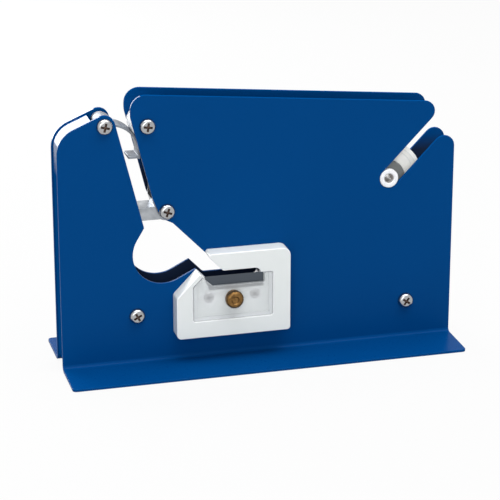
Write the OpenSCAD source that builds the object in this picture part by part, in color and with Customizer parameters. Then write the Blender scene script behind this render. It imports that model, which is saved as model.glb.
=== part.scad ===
// Bench sealer for bag necks: two folded steel plates hold a tape wheel, a tape guide roller,
// a sprung gripper finger and a sprung knife lever, with a neck trimmer bolted to the front.
// Millimetres, Z up, front towards -Y. Places are taken from the left end and from the bench.

/* [Plates] */
// Length of the stand
body_l = 300; // [270:1:340]
// Sheet thickness
plate_t = 2; // [1.5:0.1:3]
// Clear gap between the plates
plate_gap = 20; // [18:0.5:26]
// Foot flange, from plate face to edge
flange_w = 40; // [30:1:60]
// Inside radius of the fold
bend_r = 3; // [2:0.5:5]
// Corner radius of the foot flange
flange_corner_r = 3; // [1:0.5:8]
// Height of the top edge over the entry slot
top_h = 207; // [200:1:225]
// Fall of the top edge towards the right end
top_fall = 5.3; // [2:0.1:8]
// Corner radius over the entry slot
top_corner_r = 11; // [6:0.5:14]

/* [Left pillar] */
// Height where the left edge meets the slope
pillar_h = 178.8; // [170:0.5:185]
// Rise of the pillar's sloped top
pillar_rise = 23; // [15:1:30]
// Radius of the pillar's outer corner
pillar_corner_r = 20; // [10:1:24]
// Radius of the pillar's nose, round the finger pivot
pillar_nose_r = 8; // [7.5:0.1:9]

/* [Neck opening] */
// Centre of the round hole, from the left end
pear_x = 77; // [74:0.5:80]
// Height of the centre of the round hole
pear_z = 85; // [80:0.5:90]
// Radius of the round hole
pear_r = 23; // [20:0.5:24]
// Foot of the entry slot, left of the hole's centre
slot_foot_dx = 14.2; // [13:0.2:16]
// Foot of the entry slot, over the hole's centre
slot_foot_dz = 21; // [20:0.5:23]
// Lean of the entry slot from upright
slot_lean = 13.9; // [10:0.1:16]
// Width of the entry slot, level
slot_w = 12; // [9:0.5:14]
// Cusp between round hole and trimming channel, right of the hole's centre
cusp_dx = 24; // [22:0.5:26]
// Cusp below the hole's centre
cusp_dz = 13.6; // [12:0.2:15]
// Slope of the trimming channel
channel_slope = 46; // [42:0.5:50]
// Lower edge of the trimming slot in the plates, under the blade's edge
channel_drop = 7.5; // [4:0.1:8]
// Closed end of the trimming slot, right of the cusp
channel_l = 46; // [30:0.5:48]

/* [Fasteners] */
// Thread of the plate screws
screw_d = 6; // [5:0.5:6]
// Head diameter of the plate screws
screw_head_d = 11.8; // [10:0.2:12]
// Head height of the plate screws
screw_head_h = 4; // [3:0.2:5]
// Thread engaged in each cross bar
screw_grip = 7; // [5:0.5:8]
// Diameter of the plain cross bars
bar_d = 12; // [10:0.5:16]
// Plain bar at the left, from the left end
bar_left_x = 56.2; // [40:0.2:70]
// Height of the left plain bar
bar_left_z = 38.6; // [30:0.2:50]
// Plain bar at the right, from the right end
bar_right_in = 35.8; // [25:0.2:60]
// Height of the right plain bar
bar_right_z = 30.6; // [24:0.2:50]

/* [End cover] */
// Thickness of the strip that closes the left end
cover_t = 1.5; // [1:0.1:2.5]
// Setback of the strip from the plates' edges
cover_inset = 1; // [0.8:0.1:4]
// End of the strip on the slope, left of the finger pivot
cover_clear = 9; // [8.5:0.5:18]

/* [Roller and finger] */
// Diameter of the pivots for roller, finger and lever
pivot_d = 10; // [9:0.2:10.5]
// Diameter of the guide roller
roller_d = 21.4; // [20:0.2:22]
// Guide roller's axis, under the finger pivot
roller_drop = 2; // [0:0.2:4]
// Grooves round the guide roller
roller_grooves = 5; // [3:1:7]
// Wall of the finger's rolled eye
finger_eye_t = 2; // [1.5:0.1:2.4]
// Sheet of the finger's tongue
finger_t = 1.8; // [1.2:0.1:2.2]
// Outside radius of the tongue's curve
finger_r = 23; // [20:0.5:24]
// Angle of the finger's tip below level
finger_tip_a = 12; // [0:1:20]
// Lip folded back across the slot at the finger's tip
finger_lip = 8; // [4:0.5:8.5]

/* [Knife lever] */
// Lever pivot, right of the foot of the entry slot
lever_dx = 16.9; // [15:0.1:19]
// Lever pivot, over the foot of the entry slot
lever_dz = 11.6; // [10:0.1:13]
// Sheet of the lever
lever_t = 1.5; // [1:0.1:2]
// Radius of the lever's boss
lever_boss_r = 8; // [7:0.1:8.5]
// Length of the nose, left of the pivot
nose_l = 21.2; // [19:0.2:23]
// Height of the nose's cheeks
nose_h = 10; // [8:0.5:12]
// Height of the tail over the pivot
tail_h = 32; // [28:0.5:33]
// Thickness of the tape knife
knife_t = 1; // [0.8:0.1:1.5]
// Teeth along the tape knife
knife_teeth = 10; // [6:1:14]
// Diameter of the knife rivets
rivet_d = 3; // [2.5:0.1:3.5]
// Diameter of the lever's stop stud
stop_d = 6; // [5:0.5:8]

/* [Springs] */
// Wire of the two torsion springs
wire_d = 1; // [0.8:0.1:1.2]
// Clear gap between the turns
turn_gap = 0.5; // [0.45:0.05:0.8]
// Turns of each spring
turns = 3; // [2:1:4]

/* [Tape wheel] */
// Axle from the right end
axle_in = 50.6; // [46:0.2:54]
// Height of the axle
axle_z = 128.6; // [126:0.2:131]
// Slope of the axle's open slot
axle_slot_a = 46; // [42:1:50]
// Diameter of the axle tube
axle_d = 14.2; // [12:0.2:16]
// Bore of the axle tube
axle_bore = 7; // [5:0.5:9]
// Axle proud of each plate
axle_proud = 0.5; // [0.3:0.1:3]
// Radius of the upper and lower lobes at the slot's mouth
lobe_r = 8; // [5:0.5:9]
// Diameter of the axle's side collars
collar_d = 26; // [22:0.5:30]
// Thickness of the side collars
collar_t = 1.6; // [1:0.1:2]
// Diameter of the wheel's rim
rim_d = 53; // [50:1:60]
// Diameter of the roll core that the wheel carries
core_d = 76; // [72:1:80]
// Width of the wheel
wheel_w = 14; // [10:0.5:15]
// Wall of hub, web and rim
wheel_wall = 3; // [2:0.2:4]
// Fins that carry the core
fins = 3; // [3:1:5]

/* [Trimmer] */
// Left edge of the trimmer, left of the cusp
trim_dx = 17.5; // [15:0.5:19]
// Length of the trimmer
trim_l = 86.5; // [80:0.5:92]
// Lower edge of the trimmer, under the cusp
trim_drop = 50.1; // [46:0.1:53]
// Height of the trimmer
trim_h = 64.7; // [62:0.2:68]
// Thickness of the trimmer's block
trim_t = 13; // [12:0.5:18]
// Floor under blade and guard
trim_floor = 9; // [7:0.5:9.5]
// Left start of the block's top edge, from the trimmer's left
mouth_dx = 22; // [22:0.5:29]
// Underside of the bar over the blade, over the cusp
bar_gap_dz = 1; // [0:0.1:2.5]
// Lower edge of the slot in the block, under the blade's edge
ledge_drop = 3.8; // [3:0.1:5]
// Thickness of the trimming blade
blade_t = 0.6; // [0.4:0.1:1]
// Cutting edge of the blade, under the bar
blade_drop = 4.6; // [4:0.1:5.4]
// Height of the blade
blade_h = 10.8; // [9:0.2:11.5]
// Thickness of the clear guard
guard_t = 3.4; // [2:0.1:3.6]
// Left edge of the guard, from the trimmer's left
guard_dx = 12.7; // [11:0.1:15]
// Length of the guard
guard_l = 60; // [58:0.5:64]
// Lower edge of the guard over the trimmer's lower edge
guard_dz = 13.3; // [10:0.1:15]
// Upper edge of the guard, under the blade's edge
guard_drop = 7.1; // [6:0.1:8]
// Spacing of the trimmer's bolts from the clamp stud
trim_pitch = 17.5; // [15:0.5:20]
// Bolt line over the trimmer's lower edge
trim_bolt_dz = 29.4; // [27:0.2:31]
// Thread of the trimmer's bolts
trim_bolt_d = 4; // [3:0.5:4.5]
// Countersunk head of the trimmer's bolts
trim_head_d = 8.2; // [7:0.2:9]
// Nuts of the trimmer's bolts, across corners
trim_nut_d = 8.1; // [6.4:0.1:9]
// Height of these nuts
trim_nut_h = 3.2; // [2.4:0.1:4]
// Thread of the clamp stud
stud_d = 5; // [4:0.5:5]
// Head of the clamp stud, across corners
stud_head_d = 9.2; // [8:0.1:10]
// Height of the clamp stud's head
stud_head_h = 3.5; // [2.8:0.1:4]
// Diameter of the knurled clamp nut
knob_d = 13.6; // [11:0.2:15]
// Height of the knurled clamp nut
knob_h = 6; // [4:0.5:9]
// Thickness of the washer under the clamp nut
washer_t = 1; // [0.6:0.1:1.5]
// Ridges round the clamp nut
knob_ridges = 32; // [16:1:40]

/* [Fits] */
// Running fit between pivot and bore, radial
run_fit = 0.1; // [0.05:0.01:0.1]
// Fit of a screw in its hole or bar, radial
hole_fit = 0.2; // [0.1:0.05:0.3]
// Clear gap beside pieces that move
side_gap = 0.5; // [0.3:0.1:0.8]
// Gap of the tape nip and of loose seats
seat_gap = 0.3; // [0.2:0.05:0.4]

/* [Hidden] */
$fn = 64;

// Plate faces along Y
in_y = plate_gap / 2;
face_y = in_y + plate_t;
edge_y = face_y + flange_w;

// Round hole, foot of the entry slot, and the cusp between hole and trimming channel
pear_p = [pear_x, pear_z];
slot_foot_p = pear_p + [-slot_foot_dx, slot_foot_dz];
cusp_p = pear_p + [cusp_dx, -cusp_dz];
slot_foot_x = slot_foot_p[0];
slot_foot_z = slot_foot_p[1];
lever_p = slot_foot_p + [lever_dx, lever_dz];
lever_x = lever_p[0];
lever_z = lever_p[1];

// Trimmer, hung from the cusp
trim_x = cusp_p[0] - trim_dx;
trim_z = cusp_p[1] - trim_drop;
bar_gap_z = cusp_p[1] + bar_gap_dz;
blade_edge_z = bar_gap_z - blade_drop;
channel_lo_z = blade_edge_z - channel_drop;
ledge_z = blade_edge_z - ledge_drop;
channel_end_x = cusp_p[0] + channel_l;

// Lines of the plate's outline
lean = tan(slot_lean);
fall = tan(top_fall);
rise = tan(pillar_rise);
function slot_left(z) = slot_foot_x + (slot_foot_z - z) * lean;
function slot_right(z) = slot_left(z) + slot_w;
function pillar_top(x) = pillar_h + x * rise;

// Small vector helpers
function unit(v) = v / norm(v);
function turn(v, a) = [v[0] * cos(a) - v[1] * sin(a), v[0] * sin(a) + v[1] * cos(a)];
function polar(r, a) = [r * cos(a), r * sin(a)];
function flat(p) = [p[0], p[1]];
// Where the line through p along u meets the line through q along v
function meet(p, u, q, v) =
  let (d = u[0] * v[1] - u[1] * v[0], w = q - p)
  p + u * (w[0] * v[1] - w[1] * v[0]) / d;
// Touching point of the tangent from p to a circle, on the chosen side
function tangent_point(p, c, r, side) = c + turn(unit(p - c), side * acos(r / norm(p - c))) * r;
// One rounded corner b between a and c, as points of its arc
function corner(a, b, c, r, n) =
  let (u = unit(a - b), v = unit(c - b), half = acos(u * v) / 2)
  let (m = b + unit(u + v) * r / sin(half), s = b + u * r / tan(half) - m, e = b + v * r / tan(half) - m)
  let (a0 = atan2(s[1], s[0]), da = (atan2(e[1], e[0]) - a0 + 540) % 360 - 180)
  [for (k = [0:n]) m + polar(r, a0 + da * k / n)];
// Closed outline from [x, z, corner radius] points
function rounded(path, n = 8) =
  let (c = len(path))
  [for (i = [0:c - 1])
    each path[i][2] > 0
      ? corner(flat(path[(i + c - 1) % c]), flat(path[i]), flat(path[(i + 1) % c]), path[i][2], n)
      : [flat(path[i])]];

// Pillar nose: the finger pivot is the centre of its arc
slot_dir = unit([-lean, 1]);
rise_dir = unit([1, rise]);
nose_corner = meet([0, pillar_h], rise_dir, [slot_foot_x, slot_foot_z], slot_dir);
nose_half = acos(-rise_dir * -slot_dir) / 2;
finger_p = nose_corner + unit(-rise_dir - slot_dir) * pillar_nose_r / sin(nose_half);

// Guide roller: its left side lines up with the slot's right edge
roller_z = finger_p[1] - roller_drop;
roller_p = [slot_right(roller_z) + roller_d / 2 - seat_gap, roller_z];
bar_left_p = [bar_left_x, bar_left_z];
bar_right_p = [body_l - bar_right_in, bar_right_z];
screw_places = [finger_p, roller_p, lever_p, bar_left_p, bar_right_p];

// Tangents of the round hole, and the trimming channel
foot_touch = tangent_point(slot_foot_p, pear_p, pear_r, 1);
cusp_touch = tangent_point(cusp_p, pear_p, pear_r, -1);
channel_dir = polar(1, -channel_slope);
channel_start = lever_p + [4.6, -9.6];
channel_hi_z = bar_gap_z + seat_gap;
channel_knee = meet(channel_start, channel_dir, [0, channel_hi_z], [1, 0]);
cusp_knee = meet(cusp_p, channel_dir, [0, channel_lo_z], [1, 0]);
ledge_knee = meet(cusp_p, channel_dir, [0, ledge_z], [1, 0]);

// The round hole stays under the channel's sloped edge
pear_far = pear_r + 1;
pear_field = [
  pear_p + [-pear_far, pear_far], pear_p + [-pear_far, -pear_far], pear_p + [pear_far, -pear_far],
  meet(channel_start, channel_dir, pear_p + [pear_far, 0], [0, 1]), channel_start,
  [channel_start[0], pear_z + pear_far]
];

// Axle slot and the lobes of its mouth
axle_p = [body_l - axle_in, axle_z];
axle_dir = polar(1, axle_slot_a);
axle_side = turn(axle_dir, 90);
axle_slot_r = axle_d / 2 + seat_gap;
top_left = [slot_right(roller_z) - seat_gap - 1.5, top_h];
upper_lobe = meet(axle_p + axle_side * axle_slot_r, axle_dir, top_left, [1, -fall]);
lower_lobe = meet(axle_p - axle_side * axle_slot_r, axle_dir, [body_l, 0], [0, 1]);
slot_bend_z = slot_foot_z + (slot_foot_x + slot_w - top_left[0]) / lean;
slot_flare = lever_p + [-10.3, 11];

plate_path = [
  [0, 0, 0], [body_l, 0, 0],
  [lower_lobe[0], lower_lobe[1], lobe_r],
  [axle_p[0] - axle_side[0] * axle_slot_r, axle_p[1] - axle_side[1] * axle_slot_r, 0],
  [axle_p[0] + axle_side[0] * axle_slot_r, axle_p[1] + axle_side[1] * axle_slot_r, 0],
  [upper_lobe[0], upper_lobe[1], lobe_r],
  [top_left[0], top_left[1], top_corner_r],
  [top_left[0], slot_bend_z, 18],
  [slot_right(slot_flare[1]), slot_flare[1], 8],
  [lever_p[0] - 4.2, lever_p[1] - 5, 4],
  [channel_start[0], channel_start[1], 3],
  [channel_knee[0], channel_knee[1], 3],
  [channel_end_x, channel_hi_z, 4],
  [channel_end_x, channel_lo_z, 4],
  [cusp_knee[0], cusp_knee[1], 3],
  [cusp_p[0], cusp_p[1], 1],
  [cusp_touch[0], cusp_touch[1], 0],
  [foot_touch[0], foot_touch[1], 0],
  [slot_foot_x, slot_foot_z, 2],
  [nose_corner[0], nose_corner[1], pillar_nose_r],
  [0, pillar_h, pillar_corner_r]
];
fold_path = [
  [-in_y, top_h + 9, 0], [-in_y, 0, bend_r + plate_t], [-edge_y, 0, 0],
  [-edge_y, plate_t, 0], [-face_y, plate_t, bend_r], [-face_y, top_h + 9, 0]
];
flange_path = [
  [0, -edge_y, flange_corner_r], [body_l, -edge_y, flange_corner_r],
  [body_l, 0, 0], [0, 0, 0]
];

// Finger: a tongue that nips the tape against the guide roller
finger_c = finger_nip_centre();
// Centre of the tongue's curve: its arc starts over the eye and stands clear of the roller
function finger_nip_centre() =
  let (d = roller_p - finger_p, far = finger_r + roller_d / 2 + seat_gap, near = finger_r)
  let (a = acos((near * near + d * d - far * far) / (2 * near * norm(d))))
  finger_p + turn(unit(d), -a) * near;
tongue_w = plate_gap - 2 * side_gap - 3;
eye_r = pivot_d / 2 + run_fit + finger_eye_t;
root_a = 75;
lip_p = finger_c + polar(finger_r - finger_t, -finger_tip_a) + [finger_t / 2, 0.2];
spring_w = turns * (wire_d + turn_gap) + wire_d;
spring_r = pivot_d / 2 + 0.4 + wire_d / 2;
// Side of the finger where its spring sits
eye_y1 = tongue_w / 2 - spring_w - side_gap;

// Lever
lever_w = plate_gap - 2 * side_gap - 2;
nose_top_z = lever_z + 3;
tail_z = lever_z + tail_h;
stop_p = lever_p + [4.8 + stop_d / 2 + seat_gap, 0.55 * tail_h];

// Trimmer faces measured outwards from the front plate
trim_bolts = [for (k = [-1, 1]) [trim_x + guard_dx + guard_l / 2 + k * trim_pitch, trim_z + trim_bolt_dz]];
stud_p = [trim_x + guard_dx + guard_l / 2, trim_z + trim_bolt_dz];
guard_z1 = blade_edge_z - guard_drop;
guard_x0 = trim_x + guard_dx;
guard_x1 = guard_x0 + guard_l;
column_x0 = channel_end_x + 3.3;
column_z1 = blade_edge_z + 0.6;
mouth_p = [trim_x + mouth_dx, trim_z + trim_h];
mouth_knee = meet(mouth_p, channel_dir, [0, bar_gap_z], [1, 0]);
guard_knee = meet(cusp_p + [0.6, -1.6], channel_dir, [0, guard_z1], [1, 0]);
guard_path = [
  [guard_x0, trim_z + guard_dz, 1.5], [guard_x1, trim_z + guard_dz, 1.5],
  [guard_x1, column_z1, 1.5], [column_x0, column_z1, 1], [column_x0, guard_z1, 1],
  [guard_knee[0] + 1, guard_z1, 1], [cusp_p[0] + 2.2, cusp_p[1] - 3.4, 1],
  [guard_x0, cusp_p[1] - 10.4, 1.5]
];
pocket_path = [
  [guard_x0 - seat_gap, trim_z + guard_dz - seat_gap, 1.8],
  [guard_x1 + seat_gap, trim_z + guard_dz - seat_gap, 1.8],
  [guard_x1 + seat_gap, column_z1 + seat_gap, 1.8],
  [channel_end_x - 2, column_z1 + seat_gap, 0],
  [cusp_p[0] + 6, column_z1 + seat_gap, 0],
  [cusp_p[0] + 2.2, cusp_p[1] - 3.4 + 2 * seat_gap, 0],
  [guard_x0 - seat_gap, cusp_p[1] - 10.4 + seat_gap, 1.8]
];
housing_path = [
  [trim_x, trim_z, 3.5], [trim_x + trim_l, trim_z, 2.5], [trim_x + trim_l, trim_z + trim_h, 6],
  [mouth_p[0], mouth_p[1], 2], [mouth_knee[0], mouth_knee[1], 2],
  [channel_end_x, bar_gap_z, 4], [channel_end_x, ledge_z, 4],
  [ledge_knee[0], ledge_knee[1], 2], [cusp_p[0], cusp_p[1], 1],
  [trim_x, cusp_p[1] - (cusp_p[0] - trim_x) * tan(channel_slope), 3]
];
blade_x0 = cusp_p[0] + 4;
blade_x1 = column_x0 - seat_gap;

// Placing: children keep their own X and Z, measured from the left end
module from_left() {
  translate([-body_l / 2, 0, 0]) children();
}
// Flat sheet in the XZ plane between two depths
module sheet(y0, y1) {
  translate([0, y1, 0]) rotate([90, 0, 0]) linear_extrude(y1 - y0) children();
}
// Flat sheet measured outwards from the front plate's face
module outward(d0, d1) {
  sheet(-face_y - d1, -face_y - d0) children();
}
// Round rod along Y at an XZ place
module rod(p, d, y0, y1) {
  translate([p[0], y1, p[1]]) rotate([90, 0, 0]) cylinder(d = d, h = y1 - y0);
}

module folded_plate() {
  difference() {
    intersection() {
      rotate([90, 0, 90]) linear_extrude(body_l) polygon(rounded(fold_path, 12));
      sheet(-edge_y - 1, 0) polygon(rounded(plate_path));
      translate([0, 0, -1]) linear_extrude(top_h + 9) polygon(rounded(flange_path));
    }
    intersection() {
      rod(pear_p, 2 * pear_r, -face_y - 1, 0);
      sheet(-face_y - 2, 1) polygon(pear_field);
    }
    rod(axle_p, 2 * axle_slot_r, -face_y - 1, 0);
    for (p = screw_places) rod(p, screw_d + 2 * hole_fit, -face_y - 1, 0);
  }
}
module front_plate() {
  color("royalblue") from_left() difference() {
    folded_plate();
    for (p = trim_bolts) rod(p, trim_bolt_d + 2 * hole_fit, -face_y - 1, 0);
    rod(stud_p, stud_d + 2 * hole_fit, -face_y - 1, 0);
  }
}
module rear_plate() {
  color("royalblue") from_left() difference() {
    mirror([0, 1, 0]) folded_plate();
    rod(stop_p, 4 + 2 * hole_fit, 0, face_y + 1);
  }
}

// Strip bent round the pillar's corner, flush between the plates
cover_end_x = finger_p[0] - cover_clear;
function cover_corner(d) = [d, pillar_h + d * rise - d / cos(pillar_rise)];
function cover_tip(d) = [cover_end_x, pillar_top(cover_end_x) - d / cos(pillar_rise)];
module end_cover() {
  d0 = cover_inset;
  d1 = cover_inset + cover_t;
  z0 = plate_t + bend_r + 2;
  color("royalblue") from_left() sheet(-in_y, in_y) polygon(rounded([
    [d0, z0, 0], [d1, z0, 0],
    [cover_corner(d1)[0], cover_corner(d1)[1], pillar_corner_r - d1],
    [cover_tip(d1)[0], cover_tip(d1)[1], 0], [cover_tip(d0)[0], cover_tip(d0)[1], 0],
    [cover_corner(d0)[0], cover_corner(d0)[1], pillar_corner_r - d0]
  ]));
}

// Bar between the plates with a tapped hole in each end
module tapped_bar(p, d) {
  difference() {
    rod(p, d, -in_y, in_y);
    for (s = [-1, 1]) {
      translate([0, s * in_y, 0]) rod(p, screw_d, -screw_grip - 1, screw_grip + 1);
    }
  }
}
module cross_bars() {
  color("silver") from_left() {
    tapped_bar(bar_left_p, bar_d);
    tapped_bar(bar_right_p, bar_d);
  }
}
module finger_pivot() {
  color("silver") from_left() tapped_bar(finger_p, pivot_d);
}
module roller_spindle() {
  color("silver") from_left() tapped_bar(roller_p, pivot_d);
}
module lever_pivot() {
  color("silver") from_left() tapped_bar(lever_p, pivot_d);
}

// Pan head with a cross recess, head towards +Z, seated at Z 0
module pan_screw() {
  r = screw_head_d / 2;
  difference() {
    union() {
      rotate_extrude() polygon(concat([[0, 0], [r, 0]],
        [for (k = [0:6]) [r - 1.4 + 1.4 * cos(k * 15), screw_head_h - 1.7 + 1.7 * sin(k * 15)]],
        [[0, screw_head_h]]));
      translate([0, 0, -plate_t - screw_grip]) cylinder(d = screw_d - hole_fit, h = plate_t + screw_grip);
    }
    for (a = [0, 90]) {
      rotate(a) translate([-3.2, -0.7, screw_head_h - 2]) cube([6.4, 1.4, 3]);
    }
  }
}
module front_screws() {
  color("gainsboro") from_left() for (p = screw_places) {
    translate([p[0], -face_y, p[1]]) rotate([90, 0, 0]) pan_screw();
  }
}
module rear_screws() {
  color("gainsboro") from_left() for (p = screw_places) {
    translate([p[0], face_y, p[1]]) rotate([-90, 0, 0]) pan_screw();
  }
}

// Riveted through the rear plate only, so that nothing shows in front
module lever_stop() {
  color("silver") from_left() {
    rod(stop_p, stop_d, -in_y + 4, in_y);
    rod(stop_p, 4, in_y, face_y + 0.5);
    rod(stop_p, 7, face_y, face_y + 1.5);
  }
}

module guide_roller() {
  half = in_y - side_gap;
  pitch = 2 * half / (roller_grooves + 1);
  color("whitesmoke") from_left() difference() {
    rod(roller_p, roller_d, -half, half);
    rod(roller_p, pivot_d + 2 * run_fit, -in_y, in_y);
    for (k = [1:roller_grooves]) {
      translate([roller_p[0], k * pitch - half, roller_p[1]]) rotate([90, 0, 0])
        rotate_extrude() translate([roller_d / 2, 0]) circle(r = 0.8, $fn = 24);
    }
  }
}

// Rolled eye and curved tongue, bent from one strip
module gripper_finger() {
  half = tongue_w / 2;
  color("lightsteelblue") from_left() difference() {
    union() {
      rod(finger_p, 2 * eye_r, -half, eye_y1);
      sheet(-half, half) polygon(rounded([
        [lip_p[0], lip_p[1], 0], [lip_p[0], lip_p[1] + finger_t, 0],
        [lip_p[0] - finger_lip, lip_p[1] + finger_t, 0.6], [lip_p[0] - finger_lip, lip_p[1], 0.6]
      ], 4));
      intersection() {
        difference() {
          rod(finger_c, 2 * finger_r, -half, half);
          rod(finger_c, 2 * (finger_r - finger_t), -half - 1, half + 1);
        }
        union() {
          sheet(-half, half) polygon(concat([finger_c], [for (a = [-finger_tip_a, 20, 48, root_a])
            finger_c + polar(2 * finger_r, a)]));
          sheet(-half, eye_y1) polygon([finger_c, finger_c + polar(2 * finger_r, root_a - 1),
            finger_c + polar(2 * finger_r, 100)]);
        }
      }
    }
    rod(finger_p, pivot_d + 2 * run_fit, -in_y, in_y);
  }
}

// Torsion spring round a pivot along Y: a leg from rest point t0, open turns, a leg to rest point t1
function rest_angle(t, side) = atan2(t[1], t[0]) + side * acos(spring_r / norm(t));
function spring_points(t0, t1, y0, n = 8) =
  let (a0 = rest_angle(t0, 1), over = (rest_angle(t1, -1) - a0 + 720) % 360)
  let (sweep = 360 * turns + over, steps = ceil(sweep / 360 * n), climb = (wire_d + turn_gap) * sweep / 360)
  concat(
    [[t0[0], y0, t0[1]]],
    [for (k = [0:steps]) let (p = polar(spring_r, a0 + sweep * k / steps))
      [p[0], y0 + climb * k / steps, p[1]]],
    [[t1[0], y0 + climb, t1[1]]]);
function wire_ring(q, i) =
  let (c = len(q) - 1, t = unit(q[min(i + 1, c)] - q[max(i - 1, 0)]))
  let (u = unit(cross(t, [0, 1, 0])), v = cross(u, t))
  [for (k = [0:5]) q[i] + (u * cos(60 * k) + v * sin(60 * k)) * wire_d / 2];
function wire_gap(q) =
  min([for (i = [0:len(q) - 1], j = [0:len(q) - 1]) if (j - i > 5) norm(q[i] - q[j])]) - wire_d;
module wire(q) {
  c = len(q);
  polyhedron(
    points = [for (i = [0:c - 1]) each wire_ring(q, i)],
    faces = concat(
      [for (k = [1:4]) [0, k + 1, k]],
      [for (i = [0:c - 2], k = [0:5], h = [0, 1]) let (a = 6 * i + k, b = 6 * i + (k + 1) % 6)
        h == 0 ? [a, b, b + 6] : [a, b + 6, a + 6]],
      [for (k = [1:4]) [6 * (c - 1), 6 * (c - 1) + k, 6 * (c - 1) + k + 1]]));
}
// Rest points of the legs, from each pivot: cover and tongue, nose web and stop stud
wire_seat = wire_d / 2 + 0.1;
finger_wire = spring_points(
  cover_tip(cover_inset + cover_t) + [-1, -wire_seat / cos(pillar_rise) - rise] - finger_p,
  finger_c + polar(finger_r - finger_t - wire_seat, 62) - finger_p, eye_y1 + side_gap);
lever_wire = spring_points(
  [-0.62 * nose_l, nose_top_z - lever_t - wire_seat - lever_z],
  stop_p + [stop_d / 2 + wire_d / 2 + 1, 2] - lever_p, -spring_w / 2);
module finger_spring() {
  echo(finger_spring_gap = wire_gap(finger_wire));
  color("dimgray") from_left() translate([finger_p[0], 0, finger_p[1]]) wire(finger_wire);
}
module lever_spring() {
  echo(lever_spring_gap = wire_gap(lever_wire));
  color("dimgray") from_left() translate([lever_p[0], 0, lever_p[1]]) wire(lever_wire);
}

// Bell crank: nose across the entry slot, tail with the tape knife; its web clears the spring
web_dx = spring_r + wire_d / 2 + seat_gap + lever_t;
function lever_at(dx, z, r) = [lever_x + dx, z, r];
module lever_cheek(y0) {
  difference() {
    sheet(y0, y0 + lever_t) union() {
      polygon(rounded([
        lever_at(-nose_l, nose_top_z - nose_h, 3), lever_at(0, nose_top_z - nose_h, 0),
        lever_at(4.8, lever_z, 2), lever_at(4.8, tail_z, 2), lever_at(-8, tail_z, 2),
        lever_at(-web_dx - 1.8, nose_top_z + 6, 3), lever_at(-web_dx, nose_top_z, 0),
        lever_at(-nose_l, nose_top_z, 0.5)
      ]));
      translate(lever_p) circle(r = lever_boss_r);
    }
    rod(lever_p, pivot_d + 2 * run_fit, -in_y, in_y);
  }
}
module knife_lever() {
  half = lever_w / 2;
  color("lightsteelblue") from_left() difference() {
    union() {
      lever_cheek(-half);
      lever_cheek(half - lever_t);
      // Nose web, bent up into the slanted web of the tail
      sheet(-half, half) polygon([
        flat(lever_at(-nose_l, nose_top_z)), flat(lever_at(-nose_l, nose_top_z - lever_t)),
        flat(lever_at(lever_t - web_dx, nose_top_z - lever_t)),
        flat(lever_at(lever_t - web_dx - 1.8, nose_top_z + 6)),
        flat(lever_at(-web_dx - 1.8, nose_top_z + 6)), flat(lever_at(-web_dx, nose_top_z))
      ]);
      // Top web that carries the knife
      sheet(-half, half) polygon([
        flat(lever_at(-6, tail_z)), flat(lever_at(-6, tail_z - lever_t)),
        flat(lever_at(2.8, tail_z - lever_t)), flat(lever_at(2.8, tail_z))
      ]);
    }
    knife_rivet_places() translate([0, 0, -knife_t - 5]) cylinder(d = rivet_d, h = 10);
  }
}
module knife_rivet_places() {
  for (s = [-1, 1]) {
    translate([lever_x - 1.5, s * lever_w / 4, tail_z]) children();
  }
}
module tape_knife() {
  half = lever_w / 2 - lever_t;
  pitch = 2 * half / knife_teeth;
  color("silver") from_left() difference() {
    translate([lever_x, 0, tail_z]) linear_extrude(knife_t) polygon(concat(
      [[2.5, -half], [2.5, half]],
      [for (k = [0:2 * knife_teeth]) [-11 - 2 * (k % 2), half - k * pitch / 2]]));
    knife_rivet_places() translate([0, 0, -1]) cylinder(d = rivet_d, h = knife_t + 2);
  }
}
module knife_rivets() {
  color("silver") from_left() knife_rivet_places() {
    translate([0, 0, -lever_t]) cylinder(d = rivet_d, h = lever_t + knife_t);
    translate([0, 0, knife_t]) cylinder(d1 = rivet_d + 2, d2 = rivet_d, h = 1.2);
    translate([0, 0, -lever_t - 1.2]) cylinder(d1 = rivet_d, d2 = rivet_d + 2, h = 1.2);
  }
}

module tape_axle() {
  color("whitesmoke") from_left() difference() {
    rod(axle_p, axle_d, -face_y - axle_proud, face_y + axle_proud);
    rod(axle_p, axle_bore, -face_y - 5, face_y + 5);
  }
}
module axle_collars() {
  color("darkgray") from_left() for (s = [-1, 1]) {
    y = s * (wheel_w / 2 + side_gap + collar_t / 2);
    difference() {
      rod(axle_p, collar_d, y - collar_t / 2, y + collar_t / 2);
      rod(axle_p, axle_d, y - collar_t, y + collar_t);
    }
  }
}
// Hub, web and rim, with fins that centre the roll core; the fins stand clear of the open slot
module tape_wheel() {
  half = wheel_w / 2;
  rim_r = rim_d / 2;
  hub_r = axle_d / 2 + run_fit + wheel_wall;
  color("ivory") from_left() translate([axle_p[0], 0, axle_p[1]]) difference() {
    union() {
      rotate([90, -axle_slot_a - 180 / fins, 0]) rotate_extrude() polygon([
        [hub_r - wheel_wall, -half], [hub_r, -half], [hub_r, half - wheel_wall - 1.5],
        [rim_r - wheel_wall, half - wheel_wall - 1.5], [rim_r - wheel_wall, -half], [rim_r, -half],
        [rim_r, half], [rim_r - wheel_wall, half], [rim_r - 2 * wheel_wall, half - 1.5],
        [hub_r + wheel_wall, half - 1.5], [hub_r + wheel_wall, half], [hub_r - wheel_wall, half]
      ]);
      for (k = [0:fins - 1]) {
        rotate([0, -axle_slot_a - 180 / fins - k * 360 / fins, 0]) wheel_fin(half, rim_r);
      }
    }
  }
}
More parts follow.
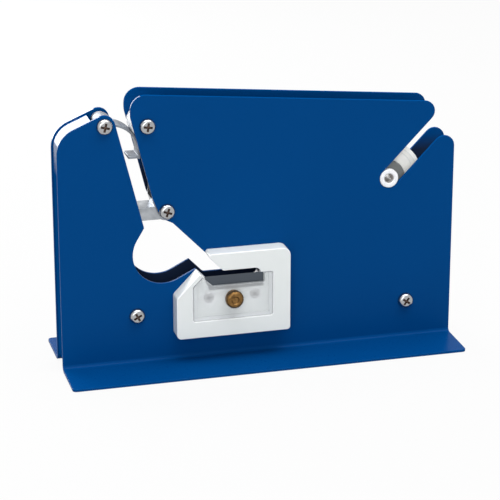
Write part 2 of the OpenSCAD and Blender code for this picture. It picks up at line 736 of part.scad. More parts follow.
module wheel_fin(half, rim_r) {
  pad_r = core_d / 2 - seat_gap;
  translate([rim_r - 1, -half, -wheel_wall / 2]) cube([pad_r - rim_r, 2 * half, wheel_wall]);
  intersection() {
    difference() {
      rod([0, 0], 2 * pad_r, -half, half);
      rod([0, 0], 2 * pad_r - 2 * wheel_wall, -half - 1, half + 1);
    }
    sheet(-half, half) polygon([[0, 0], [pad_r + 9, -11], [pad_r + 9, 11]]);
  }
}

// Cone of 90 degrees from the wide end at Z 0
module countersink(d1, d2) {
  cylinder(d1 = d1, d2 = d2, h = (d1 - d2) / 2);
}
module trimmer_housing() {
  color("whitesmoke") from_left() difference() {
    outward(0, trim_t) polygon(rounded(housing_path));
    outward(trim_floor, trim_t + 1) polygon(rounded(pocket_path));
    for (p = trim_bolts) {
      rod(p, trim_bolt_d + 2 * hole_fit, -face_y - trim_t, 0);
      translate([p[0], -face_y - trim_floor, p[1]]) rotate([-90, 0, 0])
        countersink(trim_head_d + 2 * hole_fit, trim_bolt_d);
    }
    rod(stud_p, stud_d + 2 * hole_fit, -face_y - trim_t, 0);
  }
}
// Strip blade with a ground edge along its top
module trimmer_blade() {
  z0 = blade_edge_z - blade_h;
  color("silver") from_left() intersection() {
    translate([blade_x0, -face_y - trim_floor, 0]) rotate([90, 0, 90]) linear_extrude(blade_x1 - blade_x0)
      polygon([[0, z0], [0, blade_edge_z - 2.5], [-blade_t / 2, blade_edge_z],
        [-blade_t, blade_edge_z - 2.5], [-blade_t, z0]]);
    outward(trim_floor - 1, trim_floor + 2) polygon([
      [blade_x0, blade_edge_z], [blade_x0 + 4, z0], [blade_x1, z0], [blade_x1, blade_edge_z]
    ]);
  }
}
module blade_guard() {
  color("lightcyan") from_left() difference() {
    outward(trim_floor, trim_floor + guard_t) polygon(rounded(guard_path));
    outward(trim_floor - 1, trim_floor + blade_t) polygon([
      [blade_x0 - 2, blade_edge_z + 2], [blade_x0 - 2, blade_edge_z - blade_h - 0.1],
      [blade_x1 + 0.1, blade_edge_z - blade_h - 0.1], [blade_x1 + 0.1, blade_edge_z + 2]
    ]);
    rod(stud_p, stud_d + 2 * hole_fit, -face_y - trim_t - 1, 0);
  }
}
module trimmer_screws() {
  color("gainsboro") from_left() for (p = trim_bolts) {
    translate([p[0], -face_y - trim_floor, p[1]]) rotate([-90, 0, 0]) difference() {
      union() {
        countersink(trim_head_d, trim_bolt_d - hole_fit);
        cylinder(d = trim_bolt_d - hole_fit, h = trim_floor + plate_t + trim_nut_h + 0.8);
      }
      for (a = [0, 90]) {
        rotate(a) translate([-trim_head_d / 4, -trim_head_d / 20, -1])
          cube([trim_head_d / 2, trim_head_d / 10, 2]);
      }
    }
  }
}
module trimmer_nuts() {
  color("gainsboro") from_left() for (p = trim_bolts) {
    difference() {
      translate([p[0], -in_y, p[1]]) rotate([-90, 0, 0]) cylinder(d = trim_nut_d, h = trim_nut_h, $fn = 6);
      rod(p, trim_bolt_d, -in_y - 1, -in_y + trim_nut_h + 1);
    }
  }
}
// Bolt from inside, its thread clamps guard and blade under the knurled nut
module clamp_stud() {
  end = trim_floor + guard_t + washer_t + knob_h - 0.5;
  color("gainsboro") from_left() {
    translate([stud_p[0], -in_y, stud_p[1]]) rotate([-90, 0, 0])
      cylinder(d = stud_head_d, h = stud_head_h, $fn = 6);
    rod(stud_p, stud_d, -face_y - end, -in_y + 1);
  }
}
module clamp_washer() {
  color("darkgoldenrod") from_left() difference() {
    outward(trim_floor + guard_t, trim_floor + guard_t + washer_t) translate(stud_p) circle(d = knob_d - 1.4);
    rod(stud_p, stud_d + 2 * hole_fit, -face_y - trim_t - knob_h, 0);
  }
}
module clamp_nut() {
  r = knob_d / 2;
  n = 2 * knob_ridges;
  seat_y = -face_y - trim_floor - guard_t - washer_t;
  color("darkgoldenrod") from_left()
    translate([stud_p[0], seat_y, stud_p[1]]) rotate([90, 0, 0]) difference() {
    union() {
      cylinder(r = r - 1.2, h = 1);
      translate([0, 0, 1]) linear_extrude(knob_h - 2)
        polygon([for (k = [0:n - 1]) polar(r - 0.5 * (k % 2), k * 360 / n)]);
      translate([0, 0, knob_h - 1]) cylinder(r1 = r - 0.8, r2 = r - 1.8, h = 1);
    }
    translate([0, 0, -1]) cylinder(d = stud_d + 2 * run_fit, h = knob_h + 2);
  }
}

front_plate();
rear_plate();
end_cover();
cross_bars();
finger_pivot();
roller_spindle();
lever_pivot();
lever_stop();
front_screws();
rear_screws();
guide_roller();
gripper_finger();
finger_spring();
knife_lever();
tape_knife();
knife_rivets();
lever_spring();
tape_axle();
axle_collars();
tape_wheel();
trimmer_housing();
trimmer_blade();
blade_guard();
trimmer_screws();
trimmer_nuts();
clamp_stud();
clamp_washer();
clamp_nut();
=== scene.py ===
"""Looks of a bench sealer for bag necks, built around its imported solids."""

import math

import bmesh
import bpy
from mathutils import Matrix, Vector
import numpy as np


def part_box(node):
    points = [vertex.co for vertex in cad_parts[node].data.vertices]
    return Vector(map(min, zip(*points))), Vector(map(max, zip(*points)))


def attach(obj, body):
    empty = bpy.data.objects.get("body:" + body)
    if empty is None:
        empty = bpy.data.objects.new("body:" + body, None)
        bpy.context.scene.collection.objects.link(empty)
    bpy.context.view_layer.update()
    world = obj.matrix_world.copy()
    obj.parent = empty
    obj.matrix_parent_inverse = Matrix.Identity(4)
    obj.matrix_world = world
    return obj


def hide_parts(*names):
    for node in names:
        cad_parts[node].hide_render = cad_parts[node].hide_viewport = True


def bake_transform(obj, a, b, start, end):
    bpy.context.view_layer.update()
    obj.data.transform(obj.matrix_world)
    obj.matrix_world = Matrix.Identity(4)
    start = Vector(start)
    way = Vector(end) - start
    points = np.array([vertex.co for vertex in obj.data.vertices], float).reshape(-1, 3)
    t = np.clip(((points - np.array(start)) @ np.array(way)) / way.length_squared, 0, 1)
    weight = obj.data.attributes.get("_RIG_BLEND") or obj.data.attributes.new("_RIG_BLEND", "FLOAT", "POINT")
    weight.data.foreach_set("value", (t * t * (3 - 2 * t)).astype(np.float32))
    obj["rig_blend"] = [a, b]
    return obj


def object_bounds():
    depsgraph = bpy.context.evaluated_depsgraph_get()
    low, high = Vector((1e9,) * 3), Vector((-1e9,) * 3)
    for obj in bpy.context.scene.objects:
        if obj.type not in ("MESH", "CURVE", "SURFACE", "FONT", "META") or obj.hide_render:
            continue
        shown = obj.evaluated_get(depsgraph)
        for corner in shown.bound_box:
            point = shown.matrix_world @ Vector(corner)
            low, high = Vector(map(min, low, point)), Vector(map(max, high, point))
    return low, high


bl_info = {
    "name": "Bag neck sealer",
    "version": (1, 0, 0),
    "blender": (4, 5, 0),
    "location": "3D View > Sidebar > Sealer",
    "description": "Dresses the solids of a bench sealer for bag necks",
    "category": "Object",
}

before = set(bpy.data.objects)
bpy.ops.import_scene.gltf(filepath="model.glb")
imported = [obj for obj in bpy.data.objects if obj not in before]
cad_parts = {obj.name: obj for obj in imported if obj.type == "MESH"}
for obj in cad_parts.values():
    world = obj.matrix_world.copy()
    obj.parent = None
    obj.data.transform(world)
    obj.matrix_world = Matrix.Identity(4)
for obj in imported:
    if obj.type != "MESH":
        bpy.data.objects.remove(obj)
CAD_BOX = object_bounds()
MM = 0.001
FRONT, REAR = -1, 1

# Distances within which vertices are one: in the CAD's loose triangles, and in new shapes
CAD_WELD, WELD = 2e-6, 1e-7

# Angles between faces: up to the first they lie flat, over the second they are shaded apart
FLAT, SHARP = math.radians(0.4), math.radians(42)

# Share of a face's normal along an axis: the face looks, mostly looks, half looks or leans that way
FACING, MOSTLY, HALFWAY, LEANING = 0.9, 0.6, 0.5, 0.3

# Colour sockets of a Mix node
MIX_FIRST, MIX_SECOND, MIX_OUT = 6, 7, 2

# Radii of bores
ROLLER_BORE, AXLE_BORE, WASHER_BORE, NUT_BORE = 5.1 * MM, 3.5 * MM, 2.7 * MM, 2.6 * MM

# Roundings of the tape wheel, of turned pieces, collars, the tape knife and the trimming blade
WHEEL_EDGE, TURNED_EDGE, COLLAR_EDGE = 0.4 * MM, 0.2 * MM, 0.12 * MM
KNIFE_EDGE, BLADE_EDGE = 0.08 * MM, 0.06 * MM

# Chamfers on turned ends, on finer ones and on the axle bore's mouths
CHAMFER, FINE_CHAMFER, MOUTH_CHAMFER = 0.5 * MM, 0.4 * MM, 0.8 * MM

# Plate screws: chamfer under the head, dome's width and height, turns of the recesses in degrees
HEAD_LIP, DOME_W, DOME_H = 0.25 * MM, 2.4 * MM, 3.1 * MM
HEAD_TURNS = (14, 8, 18, 62, 35)

# Countersunk screws: radii of head, shank and recess's flat, chamfer, turns of the recesses in radians
SUNK_R, SUNK_SHANK, SUNK_FLAT, SUNK_LIP = 4.1 * MM, 1.9 * MM, 2.9 * MM, 0.15 * MM
SUNK_TURNS = (0.3, 0.9)

# Cross recesses: half length, half width and depth
HEAD_RECESS = (3.3 * MM, 0.85 * MM, 2 * MM)
SUNK_RECESS = (2.1 * MM, 0.42 * MM, 1.2 * MM)

# Clamp nut's outline in millimetres: in from its rim, and away from its rear or its front face
NUT_REAR = ((1.5, 0), (1.2, 0.25), (1.2, 0.8), (0.35, 1.05), (0, 1.4))
NUT_FRONT = ((0, 1.5), (0.35, 1.05), (1.0, 0.8), (1.7, 0.15), (2.1, 0))

# Clamp nut's knurl: vertices round each ridge, depth midway between two ridges and beside one
RIDGE_STEPS, RIDGE_DEEP, RIDGE_SIDE = 4, 0.5 * MM, 0.3 * MM

# Run enamel: reach from the left end on the front and on the rear, and the height where it starts
RUN_FRONT, RUN_REAR, RUN_FOOT = 95 * MM, 45 * MM, 148 * MM

# Painted shade between the plates: start from the left end, height, and the length over which it fades
DARK_LEFT, DARK_TOP, FADE = 30 * MM, 142 * MM, 12 * MM

# Painted shade in the slot over the blade: left and right of the blade's end, over and under its top
SLOT_LEFT, SLOT_RIGHT, SLOT_UP, SLOT_DOWN = 15 * MM, MM, 6 * MM, 4 * MM

# Distance from the axle where the wheel is paler, and the reach past the axle's bore radius of the bore's
# painted shade
PALE_FROM, BORE_SHADE_REACH = 25 * MM, 0.1 * MM

# Soft lamps: side, place and the point that each faces
LAMPS = {
    "key": (1.4, (-0.6, -1.7, 0.5), (0, 0, 0.09)),
    "overhead": (1.8, (0.1, -0.15, 1.6), (0, 0, 0.09)),
    "rim": (0.95, (-0.47, 1.15, 0.42), (-0.14, 0, 0.18)),
}

# Floor: half of its side, air over it, tone of its grain and share of plain white that it shows
FLOOR_HALF, FLOOR_DROP, FLOOR_GRAIN, FLOOR_WHITE = 9, 0.2 * MM, (0.6, 0.6, 0.6), 0.92


def tint(red, green, blue):
    """Linear colour from a screen colour of 0 to 255."""
    parts = (red / 255, green / 255, blue / 255)
    return tuple(c / 12.92 if c <= 0.04045 else ((c + 0.055) / 1.055) ** 2.4 for c in parts)


def colour_prop(name, description, *screen):
    return bpy.props.FloatVectorProperty(
        name=name, description=description, default=tint(*screen), subtype="COLOR", size=3, min=0, max=1)


def mm_prop(name, description, length):
    return bpy.props.FloatProperty(
        name=name, description=description, default=length * MM, min=0, unit="LENGTH", precision=5)


def angle_prop(name, description, degrees):
    return bpy.props.FloatProperty(
        name=name, description=description, default=math.radians(degrees), subtype="ANGLE")


def count_prop(name, description, default):
    return bpy.props.IntProperty(name=name, description=description, default=default, min=1)


def unit_prop(name, description, default, unit):
    return bpy.props.FloatProperty(name=name, description=description, default=default, unit=unit)


# Sizes and colours


class SealerSizes(bpy.types.PropertyGroup):
    """Roundings, and sizes of the pieces that are modelled anew."""

    plate_edge: mm_prop("Plate edge", "Rounding of the enamelled plate edges", 0.25)
    moulded_edge: mm_prop("Moulded edge", "Rounding of the trimmer block's edges", 0.7)
    stamped_edge: mm_prop("Stamped edge", "Rounding of stamped steel edges", 0.25)
    small_edge: mm_prop("Small edge", "Rounding of bars, rivets, nuts and the stud", 0.3)
    guard_edge: mm_prop("Guard edge", "Rounding of the clear guard's edges", 0.3)
    guard_air: mm_prop("Guard air", "Air behind the clear guard", 0.06)
    guard_rim: mm_prop("Guard rim", "Width of the clear guard's front rim", 3)
    rim_h: mm_prop("Rim height", "Height of the clear guard's front rim", 0.35)
    rim_edge: mm_prop("Rim edge", "Rounding of the guard rim's edges", 0.1)
    head_d: mm_prop("Screw head", "Diameter of the plate screws' heads", 11.8)
    head_h: mm_prop("Head height", "Height of the plate screws' heads", 4)
    shank_d: mm_prop("Screw shank", "Diameter of the plate screws' shanks", 5.8)
    shank_l: mm_prop("Shank length", "Length of the plate screws under the head", 9)
    bar_d: mm_prop("Cross bar", "Diameter of the two plain cross bars", 12)
    wire_d: mm_prop("Spring wire", "Diameter of the spring wire", 1)
    coil_r: mm_prop("Coil radius", "Radius of the coils at the wire's centre", 5.9)
    coil_pitch: mm_prop("Coil pitch", "Climb of the coils in one turn", 1.5)
    turns: count_prop("Turns", "Whole turns of the springs' coils", 3)
    groove_r: mm_prop("Groove", "Radius of the guide roller's grooves", 0.8)
    grooves: count_prop("Grooves", "Grooves round the guide roller", 5)
    collar_t: mm_prop("Collar", "Thickness of the axle collars", 1.6)
    nut_d: mm_prop("Clamp nut", "Diameter of the knurled clamp nut", 13.6)
    ridges: count_prop("Ridges", "Ridges round the clamp nut", 32)


class SealerColours(bpy.types.PropertyGroup):
    """Colours of the finishes."""

    paint: colour_prop("Enamel", "Blue baked enamel", 0, 63, 122)
    paint_deep: colour_prop("Enamel, deep", "Blue enamel where it lies thick", 0, 59, 115)
    paint_edge: colour_prop("Enamel, edge", "Blue enamel over an edge", 6, 76, 138)
    # Painted shade: the dark colour put deep between the plates, in the trimmer's slot and in the screw
    # recesses
    painted_shade: colour_prop("Painted_shade", "Dark primer deep between the plates", 30, 37, 54)
    zinc: colour_prop("Zinc", "Bright zinc on stamped steel", 182, 186, 190)
    zinc_dull: colour_prop("Zinc, dull", "Zinc where it is worn", 126, 131, 137)
    strip: colour_prop("Strip", "Satin plating on the finger", 138, 145, 154)
    nickel: colour_prop("Nickel", "Bright nickel on the screws", 170, 171, 172)
    # Recess colour is a painted shade inside the screws' cross recesses
    recess: colour_prop("Recess", "Dull steel inside a screw's recess", 118, 92, 72)
    bar: colour_prop("Bar steel", "Turned bar steel", 160, 160, 162)
    wire: colour_prop("Spring wire", "Drawn spring wire", 104, 104, 108)
    blade: colour_prop("Blade steel", "Ground blade steel", 70, 77, 85)
    collar: colour_prop("Collar", "Plain grey collar", 102, 106, 104)
    white: colour_prop("White plastic", "Moulded white plastic", 214, 219, 218)
    ring: colour_prop("Axle plastic", "White plastic of the axle tube", 236, 236, 240)
    cream: colour_prop("Wheel plastic", "Cream plastic of the tape wheel", 246, 245, 240)
    nylon: colour_prop("Roller nylon", "Natural nylon of the guide roller", 232, 234, 238)
    clear: colour_prop("Clear plastic", "Body tone of the clear guard", 247, 251, 253)
    # Painted shade in the axle tube's bore
    bore_shade: colour_prop("Bore_shade", "Grey dust in a bore", 162, 155, 150)
    brass: colour_prop("Brass", "Turned brass", 136, 103, 61)
    brass_dark: colour_prop("Brass, dull", "Brass in the grooves", 66, 48, 28)


class SealerStage(bpy.types.PropertyGroup):
    """Camera, floor and lights."""

    target: bpy.props.FloatVectorProperty(
        name="Target", description="Point that the camera looks at",
        default=(-0.0077, -0.012, 0.082), subtype="TRANSLATION", unit="LENGTH")
    distance: mm_prop("Distance", "Camera to target", 1625)
    azimuth: angle_prop("Azimuth", "Camera's turn towards the left end", 14.99)
    elevation: angle_prop("Elevation", "Camera's height angle", 19.66)
    lens: unit_prop("Lens", "Focal length", 158.4, "CAMERA")
    sensor: unit_prop("Sensor", "Width of the film", 36, "CAMERA")
    floor: colour_prop("Floor", "Pale floor", 182, 182, 182)
    ambient: bpy.props.FloatProperty(
        name="Ambient", description="Strength of the even light", default=0.34, min=0, subtype="FACTOR")
    key_power: unit_prop("Key light", "Soft light at the front left", 17, "POWER")
    overhead_power: unit_prop("Top light", "Soft light overhead", 43, "POWER")
    rim_power: unit_prop("Rim light", "Soft light behind, at the left", 18, "POWER")


# Shader trees


class Value:
    """A socket of a shader tree; sums and products of values add Math nodes."""

    def __init__(self, shade, socket):
        self.shade = shade
        self.socket = socket

    def math(self, operation, first, second):
        return self.shade.node("ShaderNodeMath", {"operation": operation}, {0: first, 1: second})

    def __add__(self, other):
        return self.math("ADD", self, other)

    def __radd__(self, other):
        return self.math("ADD", other, self)

    def __sub__(self, other):
        return self.math("SUBTRACT", self, other)

    def __rsub__(self, other):
        return self.math("SUBTRACT", other, self)

    def __mul__(self, other):
        return self.math("MULTIPLY", self, other)

    def __rmul__(self, other):
        return self.math("MULTIPLY", other, self)


class Shade:
    """A shader tree that is filled node by node."""

    def __init__(self, owner):
        owner.use_nodes = True
        self.tree = owner.node_tree
        self.tree.nodes.clear()

    def node(self, kind, settings=None, sockets=None, out=0):
        made = self.tree.nodes.new(kind)
        for key, value in (settings or {}).items():
            if key == "stops":
                for stop, (place, grey) in zip(made.color_ramp.elements, value):
                    stop.position = place
                    stop.color = (grey, grey, grey, 1)
            else:
                setattr(made, key, value)
        for key, value in (sockets or {}).items():
            if isinstance(value, Value):
                self.tree.links.new(value.socket, made.inputs[key])
            else:
                made.inputs[key].default_value = value
        return Value(self, made.outputs[out])

    def place(self, centre=(0, 0, 0), stretch=(1, 1, 1)):
        """Object coordinates from a centre, stretched for brushed and drawn marks."""
        spot = self.node("ShaderNodeTexCoord", out="Object")
        scaled = [-c * s for c, s in zip(centre, stretch)]
        return self.node("ShaderNodeMapping", {}, {"Vector": spot, "Location": scaled, "Scale": stretch})

    def noise(self, place, scale, detail=2.0, rough=0.5):
        return self.node("ShaderNodeTexNoise", {}, {
            "Vector": place, "Scale": scale, "Detail": detail, "Roughness": rough})

    def rings(self, place, scale, wobble=0.0):
        """Turned rings round the Y axis through the place's centre."""
        return self.node("ShaderNodeTexWave", {"wave_type": "RINGS", "rings_direction": "Y"}, {
            "Vector": place, "Scale": scale, "Distortion": wobble, "Detail": 1.0}, out="Fac")

    def ramp(self, value, low, high):
        """0 up to the low value, 1 from the high one."""
        return self.node("ShaderNodeValToRGB", {"stops": ((low, 0), (high, 1))}, {"Fac": value})

    def rise(self, place, start, length):
        """0 up to a starting place, 1 from a length further on."""
        return self.ramp((place - start) * (1 / length), 0, 1)

    def mix(self, share, first, second):
        start, end = (c if isinstance(c, Value) else (*c, 1) for c in (first, second))
        return self.node("ShaderNodeMix", {"data_type": "RGBA"}, {
            0: share, MIX_FIRST: start, MIX_SECOND: end}, out=MIX_OUT)

    def marked(self, name):
        """Faces that the modelling marked, as 0 or 1."""
        return self.node("ShaderNodeAttribute", {"attribute_name": name}, out="Fac")

    def bump(self, height, strength, depth):
        return self.node("ShaderNodeBump", {}, {"Height": height, "Strength": strength, "Distance": depth})

    def surface(self, sockets):
        shader = self.node("ShaderNodeBsdfPrincipled", {}, sockets)
        self.node_out("ShaderNodeOutputMaterial", shader)

    def node_out(self, kind, shader):
        made = self.tree.nodes.new(kind)
        self.tree.links.new(shader.socket, made.inputs["Surface"])


# Finishes


def enamel(sheen):
    """A recipe for baked enamel: orange peel, gloss where it has run, and painted shade deep between the
    plates.
    """

    def recipe(shade, tone):
        place = shade.place()
        cloud = shade.noise(place, scale=11, detail=3)
        peel = shade.noise(place, scale=620, detail=2)
        fleck = shade.noise(place, scale=2600, detail=1)
        edge = shade.marked("edge")
        along, height = (shade.node("ShaderNodeSeparateXYZ", {}, {0: place}, out=axis) for axis in "XZ")
        # Painted shade: faces between the plates darken towards the painted shade colour below a height and
        # right of the left end
        low = 1 - shade.rise(height, DARK_TOP, FADE)
        deep = shade.marked("inside") * low * shade.rise(along, CAD_BOX[0][0] + DARK_LEFT, FADE)
        body = shade.mix(cloud, tone.paint, tone.paint_deep)
        body = shade.mix(edge * 0.3 + fleck * 0.05, body, tone.paint_edge)
        shade.surface({
            "Base Color": shade.mix(deep * 0.9, body, tone.painted_shade),
            "Roughness": 0.24 + peel * 0.1 + deep * 0.3,
            "Specular IOR Level": sheen,
            "Coat Weight": shade.marked("run") * shade.rise(height, RUN_FOOT, 2 * FADE),
            "Coat Roughness": 0.16,
            "Normal": shade.bump(peel + fleck * 0.25, 0.06, 0.1 * MM)})

    return recipe


def plated(first, second, matt):
    """A recipe for plating on rolled strip: fine lines across the strip and a soft mottle."""

    def recipe(shade, tone):
        line = shade.noise(shade.place(stretch=(40, 2400, 40)), scale=1, detail=4, rough=0.6)
        mottle = shade.noise(shade.place(), scale=160, detail=3)
        edge = shade.marked("edge")
        share = shade.ramp(mottle, low=0.3, high=0.7) * 0.6 + line * 0.3
        shade.surface({
            "Base Color": shade.mix(share, getattr(tone, first), getattr(tone, second)),
            "Metallic": 1.0,
            "Roughness": matt + line * 0.16 + mottle * 0.08 - edge * 0.06,
            "Normal": shade.bump(line, 0.1, 0.05 * MM)})

    return recipe


def nickel(shade, tone):
    """Bright nickel with fine polishing marks."""
    haze = shade.noise(shade.place(), scale=420, detail=3)
    fine = shade.noise(shade.place(), scale=3800, detail=2)
    shade.surface({
        "Base Color": shade.mix(haze * 0.3, tone.nickel, tone.bar),
        "Metallic": 1.0,
        "Roughness": 0.13 + haze * 0.1 + fine * 0.04,
        "Normal": shade.bump(fine, 0.06, 0.03 * MM)})


def recess(shade, tone):
    """Steel in a screw's recess, darkened as a painted shade and mottled towards the painted shade colour.
    """
    shade_mottle = shade.noise(shade.place(), scale=900, detail=3)
    shade.surface({
        "Base Color": shade.mix(shade_mottle, tone.recess, tone.painted_shade),
        "Metallic": 0.6,
        "Roughness": 0.45 + shade_mottle * 0.2,
        "Normal": shade.bump(shade_mottle, 0.15, 0.05 * MM)})


def bar_steel(shade, tone):
    """Turned bar with feed marks along its length."""
    feed = shade.noise(shade.place(stretch=(30, 3600, 30)), scale=1, detail=2)
    stain = shade.noise(shade.place(), scale=120, detail=3)
    shade.surface({
        "Base Color": shade.mix(stain * 0.5, tone.bar, tone.collar),
        "Metallic": 1.0,
        "Roughness": 0.28 + feed * 0.15,
        "Normal": shade.bump(feed, 0.2, 0.04 * MM)})


def spring_wire(shade, tone):
    """Drawn wire, dull and dark, with fine draw lines."""
    draw = shade.noise(shade.place(stretch=(500, 4000, 500)), scale=1, detail=3)
    shade.surface({
        "Base Color": shade.mix(draw * 0.5, tone.wire, tone.bar),
        "Metallic": 1.0,
        "Roughness": 0.3 + draw * 0.15,
        "Normal": shade.bump(draw, 0.1, 0.03 * MM)})


def blade_steel(shade, tone):
    """Blade strip ground lengthways, paler on its bevels."""
    grind = shade.noise(shade.place(stretch=(60, 900, 5200)), scale=1, detail=4, rough=0.65)
    edge = shade.marked("edge")
    shade.surface({
        "Base Color": shade.mix(grind * 0.1 + edge * 0.25, tone.blade, tone.bar),
        "Metallic": 1.0,
        "Roughness": 0.26 + grind * 0.16,
        "Normal": shade.bump(grind, 0.12, 0.04 * MM)})


def collar_steel(shade, tone):
    """Grey faced collar with turning rings round the axle."""
    ring = shade.rings(shade.place(centre=middle("tape_axle")), scale=900, wobble=1.5)
    stain = shade.noise(shade.place(), scale=180, detail=3)
    shade.surface({
        "Base Color": shade.mix(stain * 0.5, tone.collar, tone.wire),
        "Metallic": 0.3,
        "Roughness": 0.46 + ring * 0.12,
        "Normal": shade.bump(ring, 0.12, 0.05 * MM)})


def moulded(first, second, grain, gloss):
    """A recipe for moulded plastic: slight clouding, a fine eroded grain, smoother on the edges."""

    def recipe(shade, tone):
        place = shade.place()
        cloud = shade.noise(place, scale=24, detail=3)
        spark = shade.noise(place, scale=grain, detail=2)
        edge = shade.marked("edge")
        share = shade.ramp(cloud, low=0.3, high=0.8) * 0.3 + edge * 0.5
        body = shade.mix(share, getattr(tone, first), getattr(tone, second))
        # Faces marked groove, the axle tube's bore, take a painted shade
        body = shade.mix(shade.marked("groove") * 0.8, body, tone.bore_shade)
        # Faces marked slot, near the blade's end, take the painted shade colour
        shade.surface({
            "Base Color": shade.mix(shade.marked("slot") * 0.97, body, tone.painted_shade),
            "Roughness": gloss + spark * 0.14 - edge * 0.08,
            "Specular IOR Level": 0.4,
            "Normal": shade.bump(spark, 0.1, 0.06 * MM)})

    return recipe


def nylon(shade, tone):
    """Natural nylon with turning lines round the roller."""
    line = shade.noise(shade.place(stretch=(20, 2600, 20)), scale=1, detail=2)
    cloud = shade.noise(shade.place(), scale=60, detail=3)
    shade.surface({
        "Base Color": shade.mix(cloud * 0.4, tone.nylon, tone.cream),
        "Roughness": 0.36 + line * 0.14,
        "Normal": shade.bump(line, 0.12, 0.05 * MM)})


def clear_plastic(shade, tone):
    """Clear cast sheet, denser on its edges, with a faint handling haze."""
    place = shade.place()
    haze = shade.noise(place, scale=70, detail=4)
    scratch = shade.noise(shade.place(stretch=(900, 900, 60)), scale=1, detail=2)
    edge = shade.marked("edge")
    body = 0.34 + edge * 0.3 + shade.ramp(haze, low=0.5, high=0.8) * 0.08
    shade.surface({
        "Base Color": shade.mix(haze * 0.2 + edge * 0.5, tone.clear, tone.zinc_dull),
        "Roughness": 0.06 + haze * 0.08,
        "Alpha": body * (1 - shade.marked("rear") * 0.92),
        "Normal": shade.bump(scratch, 0.03, 0.03 * MM)})


def brass(shade, tone):
    """Turned brass, bright on the ridges and dull in the grooves."""
    ring = shade.rings(shade.place(centre=middle("clamp_washer")), scale=1100, wobble=2.0)
    tarnish = shade.noise(shade.place(), scale=560, detail=4, rough=0.7)
    dull = shade.ramp(tarnish, low=0.38, high=0.62) * 0.7 + shade.marked("groove") * 0.4
    shade.surface({
        "Base Color": shade.mix(dull, tone.brass, tone.brass_dark),
        "Metallic": 1.0,
        "Roughness": 0.24 + tarnish * 0.16 + ring * 0.06,
        "Normal": shade.bump(ring, 0.1, 0.05 * MM)})


FINISHES = {
    "enamel": enamel(sheen=0.025),
    "enamel_flat": enamel(sheen=0),
    "zinc_bright": plated("zinc", "zinc_dull", matt=0.2),
    "strip_satin": plated("strip", "wire", matt=0.38),
    "nickel_bright": nickel,
    "recess_oiled": recess,
    "bar_turned": bar_steel,
    "wire_drawn": spring_wire,
    "blade_ground": blade_steel,
    "collar_faced": collar_steel,
    "block_moulded": moulded("white", "ring", grain=2400, gloss=0.3),
    "axle_moulded": moulded("ring", "white", grain=1800, gloss=0.26),
    "wheel_moulded": moulded("cream", "white", grain=2000, gloss=0.38),
    "nylon_turned": nylon,
    "guard_clear": clear_plastic,
    "brass_turned": brass,
}


def finish(name):
    """A finish's material, made at its first use."""
    made = bpy.data.materials.get(name)
    if made is None:
        made = bpy.data.materials.new(name)
        FINISHES[name](Shade(made), bpy.context.scene.sealer_colours)
    return made


# Modelling helpers


def corners(node):
    """Lowest and highest corner of a CAD node."""
    low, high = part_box(node)
    return Vector(low), Vector(high)


def middle(node):
    """Middle of a CAD node's box."""
    low, high = corners(node)
    return (low + high) / 2


def round_size(node):
    """Radius and half length of a round CAD node that lies along Y."""
    low, high = corners(node)
    return (high.x - low.x) / 2, (high.y - low.y) / 2


def only(kind, items):
    """The items of one bmesh kind, such as BMVert."""
    return [item for item in items if isinstance(item, getattr(bmesh.types, kind))]


def arc(sweep, steps):
    """Angles at even steps of a sweep, both ends with them."""
    return [sweep * k / steps for k in range(steps + 1)]


def node_copy(node):
    """A CAD node's mesh, its loose triangles merged and its flat faces joined."""
    bm = bmesh.new()
    bm.from_mesh(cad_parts[node].data)
    bmesh.ops.remove_doubles(bm, verts=bm.verts, dist=CAD_WELD)
    bmesh.ops.dissolve_limit(
        bm, angle_limit=FLAT, use_dissolve_boundaries=False, verts=bm.verts, edges=bm.edges)
    return bm


def soften(bm, width, segments=3, sharp=25):
    """Rounds every sharp edge and marks the new faces as edge."""
    mark = bm.faces.layers.float.get("edge") or bm.faces.layers.float.new("edge")
    edges = [e for e in bm.edges if e.is_manifold and e.calc_face_angle() > math.radians(sharp)]
    rounded = bmesh.ops.bevel(
        bm, geom=edges, offset=width, offset_type="OFFSET", affect="EDGES", segments=segments,
        profile=0.5, material=-1, clamp_overlap=False)
    for face in rounded["faces"]:
        face[mark] = 1
    return bm


def turned(bm, profile, steps=72, closed=True):
    """Spins points of (radius, height) round the Z axis and gives the new vertices."""
    before = set(bm.verts)
    row = [bm.verts.new((r, 0, z)) for r, z in profile]
    pairs = zip(row, row[1:] + row[:1]) if closed else zip(row, row[1:])
    edges = [bm.edges.new(pair) for pair in pairs]
    bmesh.ops.spin(
        bm, geom=row + edges, cent=(0, 0, 0), axis=(0, 0, 1), angle=math.tau, steps=steps, use_merge=True)
    made = [v for v in bm.verts if v not in before]
    bmesh.ops.remove_doubles(bm, verts=made, dist=WELD)
    return [v for v in bm.verts if v not in before]


def stand_on(bm, verts, place, side=FRONT, turn=0.0):
    """Turns a shape made along +Z to look out of the front or the rear, and moves it to its place."""
    out = Matrix.Rotation(math.radians(-90 * side), 4, "X")
    bmesh.ops.transform(
        bm, matrix=Matrix.Translation(place) @ out @ Matrix.Rotation(turn, 4, "Z"), verts=verts)


def tube_end(bore, outer, half, mouth):
    """Profile of a tube's lower end, from its chamfered bore to its chamfered outside."""
    return [(bore, mouth - half), (bore + mouth, -half), (outer - CHAMFER, -half), (outer, CHAMFER - half)]


def far_end(profile):
    """Profile of the same end at the tube's top, going on round the tube."""
    return [(r, -z) for r, z in reversed(profile)]


def drop_in(bm, one, place=None, side=FRONT, turn=0.0):
    """Adds a finished shape to a group, and stands it at a place if one is given."""
    mesh = bpy.data.meshes.new("passing")
    one.to_mesh(mesh)
    one.free()
    before = set(bm.verts)
    bm.from_mesh(mesh)
    bpy.data.meshes.remove(mesh)
    if place is not None:
        stand_on(bm, [v for v in bm.verts if v not in before], place, side, turn)


